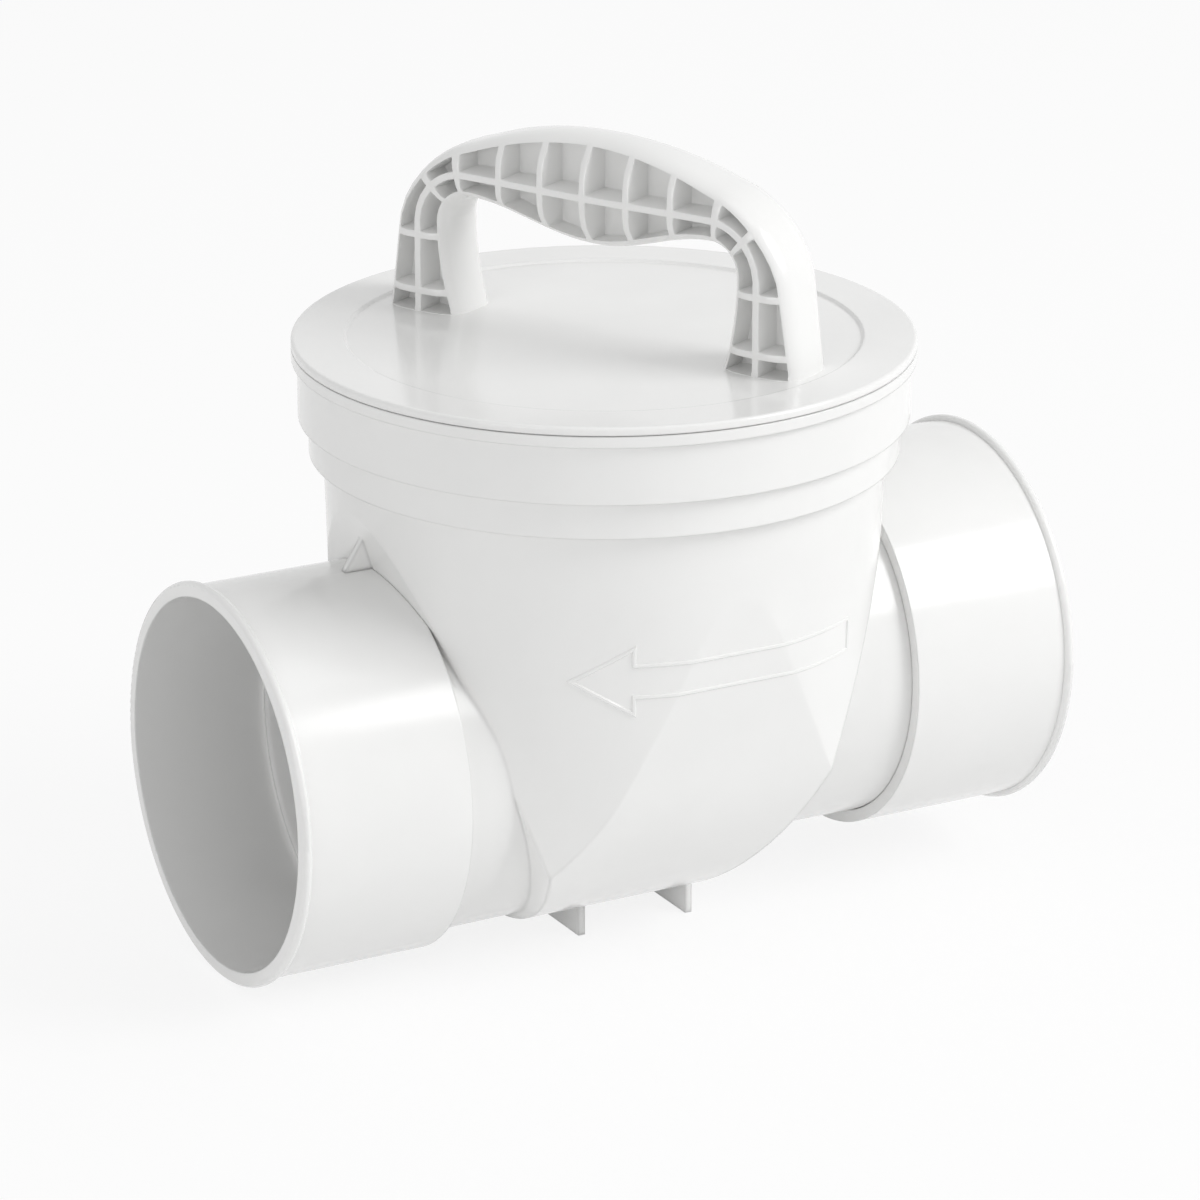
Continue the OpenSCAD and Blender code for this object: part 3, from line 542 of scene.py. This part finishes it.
class VALVE_OT_screws(Operator):
    """Turn the pan-head screws of the seal retainer and of the hinge bracket"""

    bl_idname = "valve.screws"
    bl_label = "Screws"

    def execute(self, context):
        for node, body in (("retainer_screws", "flap"), ("bracket_screws", "casing")):
            self.make_screws(context.scene.valve_screws, node, body)
        return {"FINISHED"}

    def make_screws(self, sizes, node, body):
        bm = bmesh.new()
        for cluster in self.solids(frame["nodes"][node].data):
            place, axis, bite = self.read_screw(sizes, cluster)
            self.add_screw(sizes, bm, place, axis, bite)
        piece = keep_piece(bm, node + "_turned", body, "stainless_steel", 30.0)
        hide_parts(node)

    def solids(self, mesh):
        """The corners of each screw in the node's mesh."""
        bm = bmesh.new()
        bm.from_mesh(mesh)
        bmesh.ops.remove_doubles(bm, verts=bm.verts[:], dist=JOIN)
        left, found = set(bm.verts), []
        while left:
            stack, group = [left.pop()], []
            while stack:
                v = stack.pop()
                group.append(v.co.copy())
                near = {e.other_vert(v) for e in v.link_edges} & left
                left -= near
                stack += near
            found.append(group)
        bm.free()
        return found

    def read_screw(self, sizes, corners):
        """Where the underside of a screw's head is, which way the head points, and the shank's length."""
        middle = sum(corners, Vector()) / len(corners)
        axis = Vector((-math.cos(sizes.tilt), 0, math.sin(sizes.tilt)))
        along = [(p - middle).dot(axis) for p in corners]
        radii = [((p - middle) - axis * d).length for p, d in zip(corners, along)]
        wide = [d for d, r in zip(along, radii) if r > sizes.head_radius * 0.9]
        if sum(wide) < 0:
            axis = -axis
            wide = [-d for d in wide]
            along = [-d for d in along]
        seat = min(wide)
        return middle + axis * seat, axis, seat - min(along)

    def add_screw(self, sizes, bm, place, axis, bite):
        """A pan head with a cross recess, on a plain shank, along +Z before it is placed."""
        part = bmesh.new()
        r, h = sizes.head_radius, sizes.head_height
        shank, point = sizes.shank_radius, 0.4 * MM
        profile = [(0, h), (0.62 * r, 0.97 * h), (0.86 * r, 0.8 * h), (0.97 * r, 0.5 * h), (r, 0.12 * h),
                   (r, 0), (shank, 0), (shank, point - bite), (shank - point, -bite), (0, -bite)]
        verts = [part.verts.new((x, 0, z)) for x, z in profile]
        edges = [part.edges.new(pair) for pair in zip(verts, verts[1:])]
        bmesh.ops.spin(part, geom=verts + edges, cent=(0, 0, 0), axis=(0, 0, 1), angle=2 * math.pi,
                       steps=sizes.steps, use_merge=True)
        bmesh.ops.remove_doubles(part, verts=part.verts[:], dist=JOIN)
        for normal in ((1, 0, 0), (0, 1, 0)):
            for side in (-1, 1):
                bmesh.ops.bisect_plane(part, geom=part.verts[:] + part.edges[:] + part.faces[:],
                                       plane_co=Vector(normal) * side * sizes.slot / 2, plane_no=normal)
        bmesh.ops.remove_doubles(part, verts=part.verts[:], dist=JOIN)
        reach = 0.6 * r
        cross = [f for f in part.faces if f.calc_center_median().z > 0.9 * h
                 and min(abs(f.calc_center_median().x), abs(f.calc_center_median().y)) < sizes.slot / 2
                 and f.calc_center_median().xy.length < reach]
        made = bmesh.ops.extrude_face_region(part, geom=cross)["geom"]
        floor = [g for g in made if isinstance(g, bmesh.types.BMVert)]
        bmesh.ops.translate(part, vec=(0, 0, -0.6 * h), verts=floor)
        bmesh.ops.delete(part, geom=[f for f in cross if f.is_valid], context="FACES")
        bmesh.ops.recalc_face_normals(part, faces=part.faces[:])
        turn = axis.to_track_quat("Z", "Y").to_matrix().to_4x4()
        bmesh.ops.transform(part, matrix=Matrix.Translation(place) @ turn, verts=part.verts[:])
        mesh = bpy.data.meshes.new("screw")
        part.to_mesh(mesh)
        part.free()
        bm.from_mesh(mesh)
        bpy.data.meshes.remove(mesh)


class VALVE_OT_stage(Operator):
    """Lay the floor, light the stage and set the camera"""

    bl_idname = "valve.stage"
    bl_label = "Stage"

    # Name, diameter and place of each lamp.
    LAMPS = (("key", 1.6, (1.7, -1.52, 1.65)), ("side", 1.2, (-2.1, -1.1, 0.6)), ("top", 1.4, (0.3, -0.5, 2.2)))
    AIM = (0, 0, 0.1)
    FLOOR_HALF = 6
    FLOOR_DROP = 0.2 * MM

    def execute(self, context):
        sizes = context.scene.valve_stage
        self.floor(sizes)
        self.sky(context.scene, sizes)
        for name, size, place in self.LAMPS:
            self.lamp(name + "_lamp", getattr(sizes, name), size, place)
        camera = bpy.data.objects.new("camera", bpy.data.cameras.new("camera"))
        context.collection.objects.link(camera)
        camera.data.lens = sizes.lens
        camera.data.sensor_width = 36
        camera.data.clip_start, camera.data.clip_end = 0.05, 30
        camera.location = sizes.place
        camera.rotation_euler = (sizes.pitch, 0, sizes.heading)
        context.scene.camera = camera
        context.scene.view_settings.view_transform = "Standard"
        return {"FINISHED"}

    def floor(self, sizes):
        bm = bmesh.new()
        bmesh.ops.create_grid(bm, x_segments=8, y_segments=8, size=self.FLOOR_HALF,
                              matrix=Matrix.Translation((0, 0, -self.FLOOR_DROP)))
        mesh = bpy.data.meshes.new("floor")
        bm.to_mesh(mesh)
        bm.free()
        piece = bpy.data.objects.new("floor", mesh)
        bpy.context.collection.objects.link(piece)
        material, tree, output, coords = new_material("floor_painted")
        mottle = add_node(tree, "ShaderNodeTexNoise", Vector=coords, Scale=1 / (300 * MM), Detail=2.0)
        tint = add_node(tree, "ShaderNodeValToRGB", Fac=mottle.outputs["Fac"])
        tint.color_ramp.elements[0].color = shade_of(sizes.floor, 0.99)
        tint.color_ramp.elements[1].color = shade_of(sizes.floor, 1.0)
        matt = add_node(tree, "ShaderNodeBsdfDiffuse", Color=tint.outputs["Color"])
        glow = add_node(tree, "ShaderNodeEmission", Color=(1, 1, 1, 1), Strength=1.0)
        share = add_node(tree, "ShaderNodeMath", {"operation": "MULTIPLY"})
        tree.links.new(self.seen(tree), share.inputs[0])
        share.inputs[1].default_value = sizes.white
        mix = add_node(tree, "ShaderNodeMixShader", Fac=share.outputs["Value"])
        tree.links.new(matt.outputs["BSDF"], mix.inputs[1])
        tree.links.new(glow.outputs["Emission"], mix.inputs[2])
        tree.links.new(mix.outputs["Shader"], output.inputs["Surface"])
        mesh.materials.append(material)

    def seen(self, tree):
        """One for a ray that shows the backdrop to the camera, straight or by a gloss or a glass."""
        path = add_node(tree, "ShaderNodeLightPath")
        value = path.outputs["Is Camera Ray"]
        for kind in ("Is Glossy Ray", "Is Transmission Ray"):
            either = add_node(tree, "ShaderNodeMath", {"operation": "MAXIMUM"})
            tree.links.new(value, either.inputs[0])
            tree.links.new(path.outputs[kind], either.inputs[1])
            value = either.outputs["Value"]
        return value

    def sky(self, scene, sizes):
        world = bpy.data.worlds.new("studio")
        world.use_nodes = True
        tree = world.node_tree
        tree.nodes.clear()
        output = add_node(tree, "ShaderNodeOutputWorld")
        light = add_node(tree, "ShaderNodeBackground", Color=(1, 1, 1, 1), Strength=sizes.sky)
        white = add_node(tree, "ShaderNodeBackground", Color=(1, 1, 1, 1), Strength=1.0)
        mix = add_node(tree, "ShaderNodeMixShader", Fac=self.seen(tree))
        tree.links.new(light.outputs["Background"], mix.inputs[1])
        tree.links.new(white.outputs["Background"], mix.inputs[2])
        tree.links.new(mix.outputs["Shader"], output.inputs["Surface"])
        scene.world = world

    def lamp(self, name, power, size, place):
        light = bpy.data.lights.new(name, "AREA")
        light.shape = "DISK"
        light.size = size
        light.energy = power
        lamp = bpy.data.objects.new(name, light)
        bpy.context.collection.objects.link(lamp)
        lamp.location = place
        aim = Vector(self.AIM) - lamp.location
        lamp.rotation_euler = aim.to_track_quat("-Z", "Y").to_euler()


class VALVE_PT_sidebar(Panel):
    """Lists the valve's pieces and their sizes"""

    bl_idname = "VALVE_PT_sidebar"
    bl_label = "Backwater valve"
    bl_space_type = "VIEW_3D"
    bl_region_type = "UI"
    bl_category = "Valve"

    def draw(self, context):
        for operator, group in STEPS:
            box = self.layout.box()
            box.operator(operator)
            settings = getattr(context.scene, group)
            for name in settings.bl_rna.properties.keys():
                if name not in ("rna_type", "name"):
                    box.prop(settings, name)


STEPS = (("valve.finishes", "valve_finish"), ("valve.handle", "valve_handle"),
         ("valve.arrow", "valve_arrow"), ("valve.screws", "valve_screws"), ("valve.stage", "valve_stage"))
GROUPS = {"valve_finish": ValveFinish, "valve_handle": ValveHandle, "valve_arrow": ValveArrow,
          "valve_screws": ValveScrews, "valve_stage": ValveStage}
CLASSES = (*GROUPS.values(), VALVE_OT_finishes, VALVE_OT_handle, VALVE_OT_arrow, VALVE_OT_screws,
           VALVE_OT_stage, VALVE_PT_sidebar)


def register():
    for cls in CLASSES:
        bpy.utils.register_class(cls)
    for name, group in GROUPS.items():
        setattr(bpy.types.Scene, name, PointerProperty(type=group))


def unregister():
    for name in GROUPS:
        delattr(bpy.types.Scene, name)
    for cls in reversed(CLASSES):
        bpy.utils.unregister_class(cls)


def main():
    register()
    bpy.ops.valve.finishes()
    bpy.ops.valve.handle()
    bpy.ops.valve.arrow()
    bpy.ops.valve.screws()
    bpy.ops.valve.stage()


if __name__ == "__main__":
    main()
